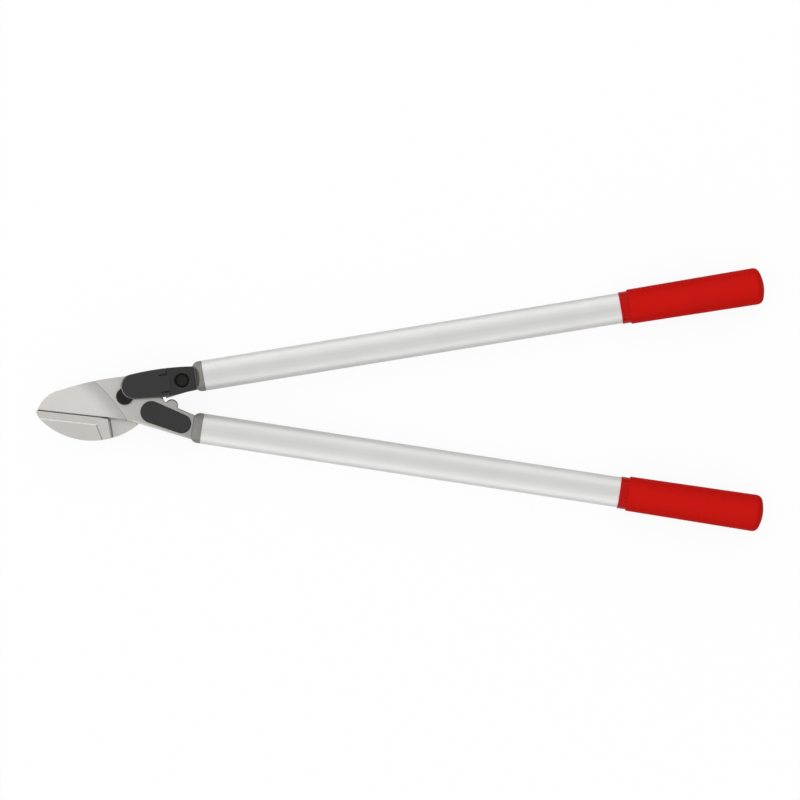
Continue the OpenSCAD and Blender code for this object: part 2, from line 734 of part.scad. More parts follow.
module front_arm() {
    color("#3a3a38") in_place() difference() {
        union() {
            intersection() {
                plate(arm_outline(0), arm_z0, arm_z1);
                upper_stretch(cover_len, reach, arm_z0 - over, arm_z1 + over);
            }
            intersection() {
                plate(arm_outline(cover_wall + cover_gap), arm_z0, ledge_z);
                upper_stretch(-reach, cover_len + over, arm_z0 - over, ledge_z + over);
            }
        }
        bar([0, 0], nut_r + 2*slide_gap, arm_z0 - over, arm_z1 + over);
        bar(lever_bolt_at, lever_bolt_d/2 + seat_fit, arm_z0 - over, arm_z1 + over);
        translate([lever_bolt_at.x, lever_bolt_at.y, arm_z1 - dish_depth])
            cylinder(r1 = dish_r - dish_draft, r2 = dish_r + dish_draft*over/dish_depth, h = dish_depth + over);
        bar(dowel_at, dowel_d/2 + seat_fit, arm_z0 - over, arm_z0 + dowel_in + seat_fit);
        bar(lock_screw_at, lock_screw_d/2 + seat_fit, arm_z0 - over, ledge_z + over);
    }
}

// Snap-on cover: a chamfered cap with a skirt and a lug, open over the nut, and a clip tab between two slots
module arm_cover() {
    slot_low = -11.7;
    slot_high = 8.1;
    tab_len = 2.2;
    skirt_z = arm_z0 + slide_gap;
    color("#30302f") in_place() difference() {
        union() {
            intersection() {
                hull() {
                    plate(arm_outline(0), skirt_z, cover_z1 - cover_chamfer);
                    plate(arm_outline(cover_chamfer), skirt_z, cover_z1);
                }
                upper_stretch(-reach, cover_len - cover_gap, skirt_z - over, cover_z1 + over);
            }
            plate([
                upper_xy(cover_len - over, slot_low), upper_xy(cover_len + tab_len, slot_low),
                upper_xy(cover_len + tab_len, slot_high), upper_xy(cover_len - over, slot_high)],
                arm_z1 + seat_fit, cover_z1);
            plate(lug_outline, skirt_z + over, nut_z1);
        }
        plate(arm_outline(cover_wall), skirt_z - over, min(cover_in_z, arm_z1));
        bar([0, 0], nut_r + 2*slide_gap, skirt_z - over, cover_in_z);
        for (y = [slot_low, slot_high]) {
            plate(
                slot_outline(
                    upper_xy(cover_len - tab_slot_len, y), tab_slot_w/2,
                    upper_xy(cover_len + tab_slot_len, y), tab_slot_w/2),
                arm_z1 - over, cover_z1 + over);
        }
    }
}

module lever_bolt() {
    seat = arm_z1 - dish_depth;
    dimple = 1;
    dimple_r = (pow(lever_head_r - dimple, 2) + dimple*dimple)/(2*dimple);
    color("#282622") in_place() difference() {
        union() {
            bar(lever_bolt_at, lever_head_r, seat, seat + lever_head_h);
            bar(lever_bolt_at, lever_bolt_d/2, rear_z0 - lever_nut_h - over, seat + over);
        }
        translate([lever_bolt_at.x, lever_bolt_at.y, seat + lever_head_h - dimple + dimple_r])
            sphere(r = dimple_r);
    }
}

module lever_nut() {
    color("gray") in_place() difference() {
        hexagon(lever_bolt_at, lever_nut_af, rear_z0 - lever_nut_h, rear_z0);
        bar(lever_bolt_at, lever_bolt_d/2 + seat_fit, rear_z0 - lever_nut_h - over, rear_z0 + over);
    }
}

module lever_dowel() {
    color("gray") in_place() bar(dowel_at, dowel_d/2, rear_z0, arm_z0 + dowel_in);
}

module upper_lever_head() {
    color("dimgray") difference() {
        union() {
            upper_handle() collar_and_spigot(arm_z0 - seat_fit, arm_len + scoop_gap);
            in_place() plate(upper_tongue, rear_z1, arm_z0);
        }
        in_place() bar(lever_bolt_at, lever_bolt_d/2 + seat_fit, rear_z1 - over, arm_z0 + over);
        in_place() bar(dowel_at, dowel_d/2 + seat_fit, rear_z1 - over, arm_z0 + over);
    }
}

module upper_tube() {
    color("lightgray") upper_handle() handle_tube();
}

module upper_grip_sleeve() {
    color("crimson") upper_handle() handle_sleeve();
}

module upper_grip() {
    color("firebrick") upper_handle() handle_grip();
}

cutting_blade();
pivot_bush();
lower_lever_head();
tang_bolts();
tang_nuts();
tang_cover();
lower_tube();
lower_grip_sleeve();
lower_grip();
anvil_carrier();
anvil();
anvil_screws();
pivot_bolt();
pivot_washer();
thrust_washers();
pivot_nut();
lock_segment();
lock_screw();
front_arm();
arm_cover();
lever_bolt();
lever_nut();
lever_dowel();
upper_lever_head();
upper_tube();
upper_grip_sleeve();
upper_grip();
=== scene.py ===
import math
import bmesh
import bpy
from mathutils import Matrix, Vector


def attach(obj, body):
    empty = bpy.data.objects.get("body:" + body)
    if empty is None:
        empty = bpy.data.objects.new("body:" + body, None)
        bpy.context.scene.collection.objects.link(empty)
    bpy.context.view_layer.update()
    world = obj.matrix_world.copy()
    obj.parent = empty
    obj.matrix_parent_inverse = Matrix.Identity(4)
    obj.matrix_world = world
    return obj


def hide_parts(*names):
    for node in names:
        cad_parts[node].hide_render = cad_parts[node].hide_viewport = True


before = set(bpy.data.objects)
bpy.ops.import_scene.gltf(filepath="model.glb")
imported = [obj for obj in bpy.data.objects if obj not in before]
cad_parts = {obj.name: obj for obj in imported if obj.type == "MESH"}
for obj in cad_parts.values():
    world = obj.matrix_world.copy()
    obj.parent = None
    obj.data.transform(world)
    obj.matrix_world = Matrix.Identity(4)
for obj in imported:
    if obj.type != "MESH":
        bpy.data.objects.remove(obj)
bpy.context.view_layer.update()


# The studio: the tool lies on a pale table under soft boxes and is seen from straight above.
# The camera's height and angle give the 840 mm long tool its width in the photograph.
def linear(code):
    """An sRGB hex colour as linear red, green, blue and alpha."""
    channels = [int(code[i:i + 2], 16) / 255 for i in (1, 3, 5)]
    return [c / 12.92 if c <= 0.04045 else ((c + 0.055) / 1.055) ** 2.4 for c in channels] + [1.0]


def add(tree, kind, inputs=(), **settings):
    """Adds a node with its settings. Inputs are pairs of a socket and a value or another node's output."""
    node = tree.nodes.new(kind)
    for name, value in settings.items():
        setattr(node, name, value)
    for socket, value in inputs:
        if isinstance(value, bpy.types.NodeSocket):
            tree.links.new(value, node.inputs[socket])
        else:
            node.inputs[socket].default_value = value
    return node


scene = bpy.context.scene
scene.view_settings.view_transform = "Standard"

HANDLE_PLANE = 0.02125
CAMERA_HEIGHT = 7.0
HALF_WIDTH = 0.46188
VIEW_CENTRE = (-0.0005, -0.0004)
camera = bpy.data.objects.new("camera", bpy.data.cameras.new("camera"))
camera.location = (*VIEW_CENTRE, HANDLE_PLANE + CAMERA_HEIGHT)
camera.data.angle = 2 * math.atan(HALF_WIDTH / CAMERA_HEIGHT)
scene.collection.objects.link(camera)
scene.camera = camera

TABLE_HALF, TABLE_DROP = 6, 0.0005
table_mesh = bpy.data.meshes.new("table")
table_mesh.from_pydata([
    (-TABLE_HALF, -TABLE_HALF, 0), (TABLE_HALF, -TABLE_HALF, 0),
    (TABLE_HALF, TABLE_HALF, 0), (-TABLE_HALF, TABLE_HALF, 0)], [], [(0, 1, 2, 3)])
table = bpy.data.objects.new("table", table_mesh)
table.location.z = -TABLE_DROP
scene.collection.objects.link(table)

# White laminate: to the camera and in reflections mostly its own white, so that only a soft shadow is left on it.
WHITE_SEEN, WHITE_MIRRORED = 0.82, 0.62
laminate = bpy.data.materials.new("white_laminate")
laminate.use_nodes = True
tree = laminate.node_tree
tree.nodes.clear()
seen = add(tree, "ShaderNodeLightPath")
tint = add(tree, "ShaderNodeMix", [
    (0, seen.outputs["Is Camera Ray"]), (6, linear("#505050")), (7, linear("#c8c8c8"))], data_type="RGBA")
paint = add(tree, "ShaderNodeBsdfDiffuse", [("Color", tint.outputs[2])])
white = add(tree, "ShaderNodeEmission", [("Color", linear("#ffffff")), ("Strength", 1.1)])
mirrored = add(tree, "ShaderNodeMath", [
    (0, seen.outputs["Is Glossy Ray"]), (1, seen.outputs["Is Transmission Ray"])], operation="MAXIMUM")
bright = add(tree, "ShaderNodeMath", [(0, mirrored.outputs[0]), (1, WHITE_MIRRORED)], operation="MULTIPLY")
share = add(tree, "ShaderNodeMath", [
    (0, seen.outputs["Is Camera Ray"]), (1, WHITE_SEEN), (2, bright.outputs[0])], operation="MULTIPLY_ADD")
blend = add(tree, "ShaderNodeMixShader", [
    (0, share.outputs[0]), (1, paint.outputs[0]), (2, white.outputs[0])])
add(tree, "ShaderNodeOutputMaterial", [("Surface", blend.outputs[0])])
table_mesh.materials.append(laminate)

# Room light: white to the camera, and to the tool a soft dome that is brighter on the left.
# Low white screens all round, faint on the right, show only in reflections, as bright lines along the chamfers.
world = bpy.data.worlds.new("soft_room")
scene.world = world
world.use_nodes = True
tree = world.node_tree
tree.nodes.clear()
way = add(tree, "ShaderNodeTexCoord")
axes = add(tree, "ShaderNodeSeparateXYZ", [(0, way.outputs["Generated"])])
fade = add(tree, "ShaderNodeMapRange", [
    ("Value", axes.outputs["X"]), ("From Min", 0.4), ("From Max", 0.95), ("To Min", 1.0), ("To Max", 0.0)])
dome = add(tree, "ShaderNodeMix", [
    (0, fade.outputs[0]), (6, linear("#b4b4b4")), (7, linear("#ffffff"))], data_type="RGBA")
seen = add(tree, "ShaderNodeLightPath")
low = add(tree, "ShaderNodeMapRange", [
    ("Value", axes.outputs["Z"]), ("From Min", 0.05), ("From Max", 0.4), ("To Min", 2.2), ("To Max", 0.0)])
open_side = add(tree, "ShaderNodeMapRange", [
    ("Value", axes.outputs["X"]), ("From Min", 0.45), ("From Max", 0.95), ("To Min", 1.0), ("To Max", 0.2)])
screen = add(tree, "ShaderNodeMath", [(0, low.outputs[0]), (1, open_side.outputs[0])], operation="MULTIPLY")
height = add(tree, "ShaderNodeMapRange", [
    ("Value", axes.outputs["Z"]), ("From Min", 0.0), ("From Max", 1.0), ("To Min", 0.7), ("To Max", 1.07)])
band = add(tree, "ShaderNodeMath", [
    (0, screen.outputs[0]), (1, seen.outputs["Is Glossy Ray"]), (2, height.outputs[0])], operation="MULTIPLY_ADD")
room = add(tree, "ShaderNodeVectorMath", [(0, dome.outputs[2]), (3, band.outputs[0])], operation="SCALE")
direct = add(tree, "ShaderNodeMath", [
    (0, seen.outputs["Is Camera Ray"]), (1, seen.outputs["Is Transmission Ray"])], operation="MAXIMUM")
shown = add(tree, "ShaderNodeMix", [
    (0, direct.outputs[0]), (6, room.outputs[0]), (7, linear("#ffffff"))], data_type="RGBA")
glow = add(tree, "ShaderNodeBackground", [("Color", shown.outputs[2]), ("Strength", 0.92)])
add(tree, "ShaderNodeOutputWorld", [("Surface", glow.outputs[0])])

for name, place, size, watts in (
        ("left_box", (-2.2, 0.4, 0.3), (0.4, 2.0), 7),
        ("upper_box", (0.3, 1.7, 1.3), (2.8, 1.5), 4),
        ("lower_box", (0.3, -1.8, 1.1), (2.8, 1.3), 3)):
    lamp = bpy.data.lights.new(name, "AREA")
    lamp.shape = "RECTANGLE"
    lamp.size, lamp.size_y = size
    lamp.energy = watts
    box = bpy.data.objects.new(name, lamp)
    box.location = place
    box.rotation_euler = (-Vector(place)).to_track_quat("-Z", "Y").to_euler()
    scene.collection.objects.link(box)


# Cutting blade: a forged and hardened steel plate, hollow-ground on both faces and bevelled along its edge.
# Its tang is bolted to the lower lever. The flats are tumbled, and the ground face keeps fine wheel marks.
def finish_of(name, metallic, roughness):
    """A new material with a Principled shader: the material, its tree and the shader."""
    made = bpy.data.materials.new(name)
    made.use_nodes = True
    made.node_tree.nodes.clear()
    shader = add(made.node_tree, "ShaderNodeBsdfPrincipled", [("Metallic", metallic), ("Roughness", roughness)])
    add(made.node_tree, "ShaderNodeOutputMaterial", [("Surface", shader.outputs[0])])
    return made, made.node_tree, shader


def eased(name, node, body, finish, width, turn=30):
    """A copy of a CAD node whose edges of at least turn degrees are broken to the given width in metres."""
    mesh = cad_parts[node].data.copy()
    mesh.name = name
    shape = bmesh.new()
    shape.from_mesh(mesh)
    bmesh.ops.remove_doubles(shape, verts=shape.verts, dist=WELD)
    bmesh.ops.dissolve_limit(shape, angle_limit=FLAT_TURN, verts=shape.verts, edges=shape.edges)
    for face in shape.faces:
        face.smooth = True
    shape.to_mesh(mesh)
    shape.free()
    for layer in list(mesh.attributes):
        if layer.name in ("custom_normal", "sharp_edge", "sharp_face"):
            mesh.attributes.remove(layer)
    mesh.set_sharp_from_angle(angle=math.radians(turn))
    mesh.materials.clear()
    mesh.materials.append(finish)
    piece = bpy.data.objects.new(name, mesh)
    scene.collection.objects.link(piece)
    edge = piece.modifiers.new("broken_edges", "BEVEL")
    edge.width = width
    edge.segments = 2
    edge.limit_method = "ANGLE"
    edge.angle_limit = math.radians(turn)
    edge.harden_normals = True
    edge.use_clamp_overlap = False
    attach(piece, body)
    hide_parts(node)
    return piece


WELD, FLAT_TURN = 2e-6, math.radians(0.3)
PIVOT = (-0.317706, 0.003754, HANDLE_PLANE)
GRIND_CENTRE, GRIND_RADIUS = (-0.45633, -0.10410, 0), 0.16243
RUN_OUT, RIDGE_IN, RIDGE_HALF = 0.022, 0.0002, 0.0004
EDGE_TILT, EDGE_DROP, EDGE_SHADE_WIDTH = math.radians(6.3), 0.0277, 0.0018
EDGE_SHADE_FULL_END, HEEL = -0.338, -0.324
TANG_FRONT, TANG_END = -0.335, -0.235
# Painted shade that the ridge line, the edge line and its heel take off the tone
RIDGE_SHADE, EDGE_LINE_SHADE, HEEL_SHADE = -0.25, -0.7, -0.25
blade_steel, tree, shader = finish_of("ground_tool_steel", 1.0, 0.4)
place = add(tree, "ShaderNodeTexCoord")
flat_place = add(tree, "ShaderNodeVectorMath", [
    (0, place.outputs["Object"]), (1, (1, 1, 0))], operation="MULTIPLY")
from_wheel = add(tree, "ShaderNodeVectorMath", [
    (0, flat_place.outputs[0]), (1, GRIND_CENTRE)], operation="DISTANCE")
ground = add(tree, "ShaderNodeMath", [
    (0, from_wheel.outputs["Value"]), (1, GRIND_RADIUS)], operation="LESS_THAN")
# Painted shade: the ground face darkens over the wheel's last 22 mm, and its rim is a painted dark line 0.8 mm wide.
painted_run_out_shade = add(tree, "ShaderNodeMapRange", [
    ("Value", from_wheel.outputs["Value"]), ("From Min", GRIND_RADIUS - RUN_OUT), ("From Max", GRIND_RADIUS),
    ("To Min", 1.0), ("To Max", 0.69)], interpolation_type="SMOOTHSTEP")
painted_ridge_line = add(tree, "ShaderNodeMath", [
    (0, from_wheel.outputs["Value"]), (1, GRIND_RADIUS - RIDGE_IN), (2, RIDGE_HALF)], operation="COMPARE")
# Wheel marks are about 0.1 mm apart: they are drawn 0.8 mm apart, so that they show.
marks = add(tree, "ShaderNodeTexNoise", [
    ("W", from_wheel.outputs["Value"]), ("Scale", 1250.0), ("Detail", 3.0)], noise_dimensions="1D")
# Painted shade along the edge covers the last 1.8 mm above the edge line, which lies 27.7 mm from the pivot.
from_pivot = add(tree, "ShaderNodeVectorMath", [
    (0, place.outputs["Object"]), (1, PIVOT)], operation="SUBTRACT")
edge_way = add(tree, "ShaderNodeVectorMath", [
    (0, from_pivot.outputs[0]), (1, (math.sin(EDGE_TILT), math.cos(EDGE_TILT), 0))], operation="DOT_PRODUCT")
edge_shade_band = add(tree, "ShaderNodeMath", [
    (0, edge_way.outputs["Value"]), (1, EDGE_SHADE_WIDTH - EDGE_DROP)], operation="LESS_THAN")
clouds = add(tree, "ShaderNodeTexNoise", [
    ("Vector", place.outputs["Object"]), ("Scale", 45.0), ("Detail", 4.0)])
# Tumbling leaves a grain of about 0.3 mm.
grain = add(tree, "ShaderNodeTexNoise", [
    ("Vector", place.outputs["Object"]), ("Scale", 3200.0), ("Detail", 2.0)])
texture = add(tree, "ShaderNodeMix", [
    (0, ground.outputs[0]), (2, grain.outputs["Fac"]), (3, marks.outputs["Fac"])])
flat_tone = add(tree, "ShaderNodeMix", [
    (0, clouds.outputs["Fac"]), (6, linear("#c2c0bc")), (7, linear("#cac8c4"))], data_type="RGBA")
# Painted shade: the tang darkens towards the collar.
along = add(tree, "ShaderNodeSeparateXYZ", [(0, place.outputs["Object"])])
painted_tang_shade = add(tree, "ShaderNodeMapRange", [
    ("Value", along.outputs["X"]), ("From Min", TANG_FRONT), ("From Max", TANG_END),
    ("To Min", 1.0), ("To Max", 0.6)])
flat_shaded = add(tree, "ShaderNodeVectorMath", [
    (0, flat_tone.outputs[2]), (3, painted_tang_shade.outputs[0])], operation="SCALE")
wheel_tone = add(tree, "ShaderNodeMix", [
    (0, clouds.outputs["Fac"]), (6, linear("#d4d2ce")), (7, linear("#dbd9d5"))], data_type="RGBA")
wheel_shaded = add(tree, "ShaderNodeVectorMath", [
    (0, wheel_tone.outputs[2]), (3, painted_run_out_shade.outputs[0])], operation="SCALE")
tone = add(tree, "ShaderNodeMix", [
    (0, ground.outputs[0]), (6, flat_shaded.outputs[0]), (7, wheel_shaded.outputs[0])], data_type="RGBA")
streak = add(tree, "ShaderNodeMapRange", [
    ("Value", texture.outputs[0]), ("From Min", 0.3), ("From Max", 0.7), ("To Min", 0.95), ("To Max", 1.03)])
streaks_and_ridge_shade = add(tree, "ShaderNodeMath", [
    (0, painted_ridge_line.outputs[0]), (1, RIDGE_SHADE), (2, streak.outputs[0])], operation="MULTIPLY_ADD")
edge_shade_on_ground = add(tree, "ShaderNodeMath", [(0, edge_shade_band.outputs[0]), (1, ground.outputs[0])], operation="MULTIPLY")
# Painted shade along the edge: darkest as far as the anvil reaches, and lighter behind it.
edge_shade_fade = add(tree, "ShaderNodeMapRange", [
    ("Value", along.outputs["X"]), ("From Min", EDGE_SHADE_FULL_END), ("From Max", HEEL),
    ("To Min", EDGE_LINE_SHADE), ("To Max", HEEL_SHADE)])
marks_and_painted_shade = add(tree, "ShaderNodeMath", [
    (0, edge_shade_on_ground.outputs[0]), (1, edge_shade_fade.outputs[0]), (2, streaks_and_ridge_shade.outputs[0])], operation="MULTIPLY_ADD")
colour = add(tree, "ShaderNodeVectorMath", [
    (0, tone.outputs[2]), (3, marks_and_painted_shade.outputs[0])], operation="SCALE")
rough = add(tree, "ShaderNodeMapRange", [
    ("Value", texture.outputs[0]), ("From Min", 0.3), ("From Max", 0.7), ("To Min", 0.36), ("To Max", 0.46)])
relief = add(tree, "ShaderNodeBump", [
    ("Height", texture.outputs[0]), ("Strength", 0.05), ("Distance", 0.0002)])
tree.links.new(colour.outputs[0], shader.inputs["Base Color"])
tree.links.new(rough.outputs[0], shader.inputs["Roughness"])
tree.links.new(relief.outputs[0], shader.inputs["Normal"])
eased("blade", "cutting_blade", "blade_lever", blade_steel, 0.00035, 24)

# Pivot bush and thrust washers: machined bronze rings that the blade turns on and between.
# They sit inside the pivot, so that only thin edges of them can be seen.
bronze, tree, shader = finish_of("machined_bronze", 1.0, 0.35)
place = add(tree, "ShaderNodeTexCoord")
turning = add(tree, "ShaderNodeTexNoise", [
    ("Vector", place.outputs["Object"]), ("Scale", 1500.0), ("Detail", 2.0)])
tone = add(tree, "ShaderNodeMix", [
    (0, turning.outputs["Fac"]), (6, linear("#b08a4e")), (7, linear("#c9a468"))], data_type="RGBA")
tree.links.new(tone.outputs[2], shader.inputs["Base Color"])
for node in ("pivot_bush", "thrust_washers"):
    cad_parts[node].data.materials.clear()
    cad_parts[node].data.materials.append(bronze)

# Lever heads: drop-forged light alloy, each with a tongue, a round collar and a spigot inside its tube.
# They are shot-blasted, which leaves an even dark grey with a fine grain.
forged_alloy, tree, shader = finish_of("shot_blasted_alloy", 0.55, 0.6)
place = add(tree, "ShaderNodeTexCoord")
# Shot leaves dents of about 0.4 mm.
dents = add(tree, "ShaderNodeTexNoise", [
    ("Vector", place.outputs["Object"]), ("Scale", 2500.0), ("Detail", 3.0)])
clouds = add(tree, "ShaderNodeTexNoise", [("Vector", place.outputs["Object"]), ("Scale", 60.0), ("Detail", 3.0)])
tone = add(tree, "ShaderNodeMix", [
    (0, clouds.outputs["Fac"]), (6, linear("#868580")), (7, linear("#92918c"))], data_type="RGBA")
rough = add(tree, "ShaderNodeMapRange", [
    ("Value", dents.outputs["Fac"]), ("From Min", 0.3), ("From Max", 0.7), ("To Min", 0.56), ("To Max", 0.66)])
relief = add(tree, "ShaderNodeBump", [
    ("Height", dents.outputs["Fac"]), ("Strength", 0.12), ("Distance", 0.0003)])
tree.links.new(tone.outputs[2], shader.inputs["Base Color"])
tree.links.new(rough.outputs[0], shader.inputs["Roughness"])
tree.links.new(relief.outputs[0], shader.inputs["Normal"])
eased("lower_head", "lower_lever_head", "blade_lever", forged_alloy, 0.0004)
eased("upper_head", "upper_lever_head", "anvil_lever", forged_alloy, 0.0004)

# Bolts, nuts, screws, washer, dowel and lock segment: steel, zinc plated, which looks pale and slightly mottled.
# The heads of the tang bolts and the lock screw lie under the covers. The other heads and the nuts are on the back.
zinc, tree, shader = finish_of("zinc_plated_steel", 1.0, 0.34)
place = add(tree, "ShaderNodeTexCoord")
spangle = add(tree, "ShaderNodeTexNoise", [
    ("Vector", place.outputs["Object"]), ("Scale", 900.0), ("Detail", 3.0)])
tone = add(tree, "ShaderNodeMix", [
    (0, spangle.outputs["Fac"]), (6, linear("#a3a5a6")), (7, linear("#b9bbbb"))], data_type="RGBA")
tree.links.new(tone.outputs[2], shader.inputs["Base Color"])
for node, body in (("tang_bolts", "blade_lever"), ("tang_nuts", "blade_lever"), ("anvil_screws", "anvil_lever"),
                   ("pivot_bolt", "anvil_lever"), ("pivot_washer", "anvil_lever"), ("lever_nut", "anvil_lever")):
    eased(node + "_edged", node, body, zinc, 0.0003)
for node in ("lever_dowel", "lock_segment", "lock_screw"):
    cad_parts[node].data.materials.clear()
    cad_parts[node].data.materials.append(zinc)

# Tang cover: a tapered plug of black nylon that is pressed into the tang over the two bolts.
# Moulded against a fine-grained tool, so that it is matt with a faint sparkle.
black_nylon, tree, shader = finish_of("moulded_black_nylon", 0.0, 0.4)
place = add(tree, "ShaderNodeTexCoord")
# The moulded grain is about 0.5 mm.
pores = add(tree, "ShaderNodeTexNoise", [
    ("Vector", place.outputs["Object"]), ("Scale", 2000.0), ("Detail", 3.0)])
clouds = add(tree, "ShaderNodeTexNoise", [("Vector", place.outputs["Object"]), ("Scale", 70.0), ("Detail", 3.0)])
tone = add(tree, "ShaderNodeMix", [
    (0, clouds.outputs["Fac"]), (6, linear("#151514")), (7, linear("#1a1a19"))], data_type="RGBA")
rough = add(tree, "ShaderNodeMapRange", [
    ("Value", pores.outputs["Fac"]), ("From Min", 0.3), ("From Max", 0.7), ("To Min", 0.34), ("To Max", 0.46)])
# The arm cover alone has a painted highlight on its chamfer: on its upper half the colour is paler and the surface
# smoother and shinier.
RIM_HIGHLIGHT_LOW, RIM_HIGHLIGHT_HIGH = 0.0399, 0.0402
painted_rim_highlight = add(tree, "ShaderNodeAttribute", attribute_name="painted_rim_highlight")
level = add(tree, "ShaderNodeSeparateXYZ", [(0, place.outputs["Object"])])
top = add(tree, "ShaderNodeMapRange", [
    ("Value", level.outputs["Z"]), ("From Min", RIM_HIGHLIGHT_LOW), ("From Max", RIM_HIGHLIGHT_HIGH)])
rim_highlight = add(tree, "ShaderNodeMath", [(0, painted_rim_highlight.outputs["Fac"]), (1, top.outputs[0])], operation="MULTIPLY")
painted_highlight_tone = add(tree, "ShaderNodeMix", [
    (0, rim_highlight.outputs[0]), (6, tone.outputs[2]), (7, linear("#7c7c79"))], data_type="RGBA")
rim_highlight_rough = add(tree, "ShaderNodeMix", [(0, rim_highlight.outputs[0]), (2, rough.outputs[0]), (3, 0.16)])
rim_highlight_shine = add(tree, "ShaderNodeMapRange", [("Value", rim_highlight.outputs[0]), ("To Min", 0.5), ("To Max", 1.0)])
relief = add(tree, "ShaderNodeBump", [
    ("Height", pores.outputs["Fac"]), ("Strength", 0.1), ("Distance", 0.0003)])
tree.links.new(painted_highlight_tone.outputs[2], shader.inputs["Base Color"])
tree.links.new(rim_highlight_rough.outputs[0], shader.inputs["Roughness"])
tree.links.new(rim_highlight_shine.outputs[0], shader.inputs["Specular IOR Level"])
tree.links.new(relief.outputs[0], shader.inputs["Normal"])
eased("tang_plug", "tang_cover", "blade_lever", black_nylon, 0.0004)


# Tubes: drawn aluminium, 35 mm across, with a natural anodised finish, pushed over the spigots.
# Drawing leaves faint lines along the tube, and anodising turns the metal's shine to satin.
def anodised(name, angle):
    """Anodised tube whose draw lines run along a handle at the given angle."""
    made, tree, shader = finish_of(name, 1.0, 0.65)
    place = add(tree, "ShaderNodeTexCoord")
    # Draw lines are about 0.3 mm apart and half a metre long: they are drawn 1 mm apart, so that they show.
    along = add(tree, "ShaderNodeMapping", [
        ("Vector", place.outputs["Object"]), ("Rotation", (0, 0, angle)), ("Scale", (0.5, 0.001, 0.001))],
        vector_type="TEXTURE")
    lines = add(tree, "ShaderNodeTexNoise", [("Vector", along.outputs[0]), ("Scale", 1.0), ("Detail", 3.0)])
    clouds = add(tree, "ShaderNodeTexNoise", [
        ("Vector", place.outputs["Object"]), ("Scale", 30.0), ("Detail", 2.0)])
    tone = add(tree, "ShaderNodeMix", [
        (0, clouds.outputs["Fac"]), (6, linear("#d7d7d6")), (7, linear("#dededd"))], data_type="RGBA")
    streak = add(tree, "ShaderNodeMapRange", [
        ("Value", lines.outputs["Fac"]), ("From Min", 0.3), ("From Max", 0.7), ("To Min", 0.94), ("To Max", 1.03)])
    colour = add(tree, "ShaderNodeVectorMath", [
        (0, tone.outputs[2]), (3, streak.outputs[0])], operation="SCALE")
    rough = add(tree, "ShaderNodeMapRange", [
        ("Value", lines.outputs["Fac"]), ("From Min", 0.3), ("From Max", 0.7), ("To Min", 0.55), ("To Max", 0.63)])
    tree.links.new(colour.outputs[0], shader.inputs["Base Color"])
    tree.links.new(rough.outputs[0], shader.inputs["Roughness"])
    return made


def swept_round():
    """Node tree that sweeps a profile of radius and station round an axis and lays that axis in the tool."""
    made = bpy.data.node_groups.new("swept_round", "GeometryNodeTree")
    for name, kind in (("Profile", "NodeSocketGeometry"), ("Sides", "NodeSocketInt"), ("Turn", "NodeSocketRotation"),
                       ("Place", "NodeSocketVector"), ("Finish", "NodeSocketMaterial")):
        made.interface.new_socket(name, in_out="INPUT", socket_type=kind)
    made.interface.new_socket("Piece", in_out="OUTPUT", socket_type="NodeSocketGeometry")
    given = add(made, "NodeGroupInput")
    profile = add(made, "GeometryNodeMeshToCurve", [("Mesh", given.outputs["Profile"])])
    ring = add(made, "GeometryNodeCurvePrimitiveCircle", [
        ("Resolution", given.outputs["Sides"]), ("Radius", AXIS_R)], mode="RADIUS")
    swept = add(made, "GeometryNodeCurveToMesh", [
        ("Curve", ring.outputs["Curve"]), ("Profile Curve", profile.outputs["Curve"])])
    joined = add(made, "GeometryNodeMergeByDistance", [("Geometry", swept.outputs["Mesh"]), ("Distance", POLE_WELD)])
    laid = add(made, "GeometryNodeTransform", [
        ("Geometry", joined.outputs[0]), ("Translation", given.outputs["Place"]), ("Rotation", given.outputs["Turn"])])
    smooth = add(made, "GeometryNodeSetShadeSmooth", [(0, laid.outputs[0])])
    real = add(made, "GeometryNodeRealizeInstances", [("Geometry", smooth.outputs[0])])
    coated = add(made, "GeometryNodeSetMaterial", [
        ("Geometry", real.outputs[0]), ("Material", given.outputs["Finish"])])
    add(made, "NodeGroupOutput", [("Piece", coated.outputs[0])])
    return made


def on_handle(name, node, body, finish, profile, closed):
    """A turned piece on the handle of a CAD node, swept from a profile of radius and station in millimetres."""
    rows = [((r / 1000 - AXIS_R) * (r > 0), s / 1000, 0) for r, s in profile]
    links = [(i, i + 1) for i in range(len(rows) - 1)] + [(len(rows) - 1, 0)] * closed
    line = bpy.data.meshes.new(name + "_profile")
    line.from_pydata(rows, links, [])
    piece = bpy.data.objects.new(name, line)
    scene.collection.objects.link(piece)
    angle, offset = HANDLES[body]
    turn = Matrix.Rotation(angle, 3, "Z")
    sweep = piece.modifiers.new("sweep", "NODES")
    sweep.node_group = ROUND
    values = {"Sides": SIDES, "Turn": (turn @ Matrix.Rotation(-math.pi / 2, 3, "Y")).to_euler(),
              "Place": Vector(PIVOT) + turn @ Vector((0, offset, 0)), "Finish": finish}
    for socket in ROUND.interface.items_tree:
        if socket.name in values:
            sweep[socket.identifier] = values[socket.name]
    made = bpy.data.meshes.new_from_object(piece.evaluated_get(bpy.context.evaluated_depsgraph_get()))
    made.name = name
    piece.modifiers.remove(sweep)
    piece.data = made
    made.set_sharp_from_angle(angle=math.radians(35))
    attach(piece, body)
    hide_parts(node)


def rounded_front(radius, start, edge):
    """Profile points of a rounded front edge in millimetres, with one more behind it that keeps the wall's shading."""
    steps = 6
    return [(radius - edge * (1 - math.sin(a)), start + edge * (1 - math.cos(a)))
            for a in (math.pi / 2 * i / steps for i in range(steps + 1))] + [(radius, start + 2 * edge)]


UPPER_ANGLE = math.radians(9.2)
LOWER_ANGLE = math.radians(-8.7)
AXIS_R, POLE_WELD, SIDES = 1e-5, 3e-5, 128
